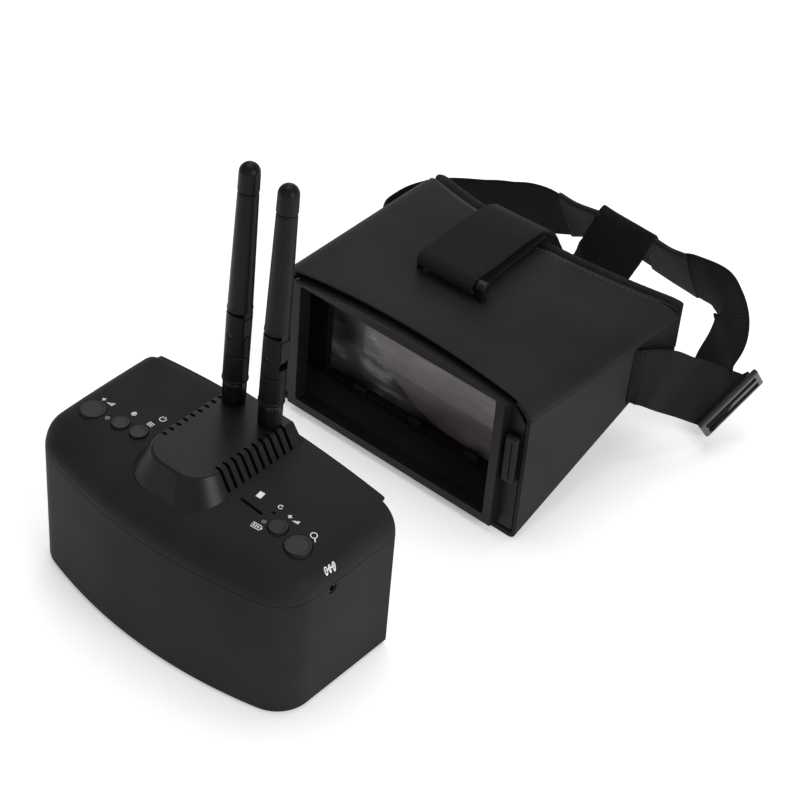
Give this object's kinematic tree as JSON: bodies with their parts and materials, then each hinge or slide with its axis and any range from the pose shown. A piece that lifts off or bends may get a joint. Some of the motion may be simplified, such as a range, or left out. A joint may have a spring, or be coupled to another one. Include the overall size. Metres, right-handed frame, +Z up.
{
  "type": "fpv goggles",
  "caption": "Box video goggles in two pieces: a curved display module with folding rod antennas and push buttons, and an eyepiece hood with lens, face foam and elastic head straps.",
  "frame": {"origin": "on the surface it stands on, at the centre of the display module's flat base", "axes": "+Z up; +Y from the display module's curved front towards the wearer's face; +X to the right seen from the module's front"},
  "size_m": [0.2147, 0.3407, 0.2164],
  "materials": {
    "black_abs": "fine matt texture, soft-touch black",
    "inner_plastic": "smooth matt black",
    "antenna_plastic": "satin black, slightly rubbery",
    "elastic_webbing": "woven black elastic",
    "face_foam": "ribbed black cloth over soft foam",
    "screen_glass": "dark glossy screen",
    "lens_acrylic": "clear grooved lens sheet",
    "circuit_board": "green solder mask",
    "battery_wrap": "shrink-wrapped cells",
    "plated_metal": "dark plated metal",
    "light_pipe": "milky indicator window"
  },
  "bodies": {
    "hood": {"hood_top_shell": "black_abs", "hood_lower_shell": "black_abs", "front_frame": "inner_plastic", "catch_left": "inner_plastic", "catch_right": "inner_plastic", "lens_frame": "inner_plastic", "fresnel_lens": "lens_acrylic", "face_rim": "inner_plastic", "face_foam": "face_foam", "strap_anchor": "inner_plastic", "top_strap": "elastic_webbing", "rear_band": "elastic_webbing", "side_strap": "elastic_webbing", "strap_slider": "antenna_plastic", "strap_pin_left": "plated_metal", "strap_pin_right": "plated_metal"},
    "module": {"display_body": "black_abs", "top_cover": "black_abs", "receiver_cover": "black_abs", "screen_bezel": "inner_plastic", "lcd_panel": "screen_glass", "main_board": "circuit_board", "button_board": "circuit_board", "battery_pack": "battery_wrap", "receiver_left": "plated_metal", "receiver_right": "plated_metal", "card_socket": "plated_metal", "power_jack": "plated_metal", "case_screw_1": "plated_metal", "case_screw_2": "plated_metal", "case_screw_3": "plated_metal", "case_screw_4": "plated_metal", "antenna_left_nut": "plated_metal", "antenna_right_nut": "plated_metal", "lamp_left": "light_pipe", "lamp_right": "light_pipe"},
    "band_button": {"band_button": "black_abs"},
    "record_button": {"record_button": "black_abs"},
    "menu_button": {"menu_button": "black_abs"},
    "channel_button": {"channel_button": "black_abs"},
    "search_button": {"search_button": "black_abs"},
    "antenna_left_swivel": {"antenna_left_fork": "antenna_plastic", "antenna_left_pin": "plated_metal"},
    "antenna_left_whip": {"antenna_left_rod": "antenna_plastic", "antenna_left_tip": "antenna_plastic"},
    "antenna_right_swivel": {"antenna_right_fork": "antenna_plastic", "antenna_right_pin": "plated_metal"},
    "antenna_right_whip": {"antenna_right_rod": "antenna_plastic", "antenna_right_tip": "antenna_plastic"}
  },
  "joints": [
    {"name": "module_dock", "type": "slide", "parent": "hood", "child": "module", "axis": [0, 1, 0], "range_m": [0, 0.0932]},
    {"name": "band_press", "type": "slide", "parent": "module", "child": "band_button", "axis": [0, 0, -1], "range_m": [0, 0.0006], "stiffness_N_per_m": 1500, "springref_m": -0.0005},
    {"name": "record_press", "type": "slide", "parent": "module", "child": "record_button", "axis": [0, 0, -1], "range_m": [0, 0.0006], "stiffness_N_per_m": 1500, "springref_m": -0.0005},
    {"name": "menu_press", "type": "slide", "parent": "module", "child": "menu_button", "axis": [0, 0, -1], "range_m": [0, 0.0006], "stiffness_N_per_m": 1500, "springref_m": -0.0005},
    {"name": "channel_press", "type": "slide", "parent": "module", "child": "channel_button", "axis": [0, 0, -1], "range_m": [0, 0.0006], "stiffness_N_per_m": 1500, "springref_m": -0.0005},
    {"name": "search_press", "type": "slide", "parent": "module", "child": "search_button", "axis": [0, 0, -1], "range_m": [0, 0.0006], "stiffness_N_per_m": 1500, "springref_m": -0.0005},
    {"name": "antenna_left_turn", "type": "hinge", "parent": "module", "child": "antenna_left_swivel", "pos_m": [-0.0108, 0.02902, 0.10299], "axis": [0, 0.0523, 0.9986], "range_deg": [-90, 90]},
    {"name": "antenna_left_fold", "type": "hinge", "parent": "antenna_left_swivel", "child": "antenna_left_whip", "pos_m": [-0.0108, 0.03054, 0.13195], "axis": [0, -0.9986, 0.0523], "range_deg": [0, 90]},
    {"name": "antenna_right_turn", "type": "hinge", "parent": "module", "child": "antenna_right_swivel", "pos_m": [0.0108, 0.02902, 0.10299], "axis": [0, 0.0523, 0.9986], "range_deg": [-90, 90]},
    {"name": "antenna_right_fold", "type": "hinge", "parent": "antenna_right_swivel", "child": "antenna_right_whip", "pos_m": [0.0108, 0.03054, 0.13195], "axis": [0, 0.9986, -0.0523], "range_deg": [0, 90]}
  ]
}
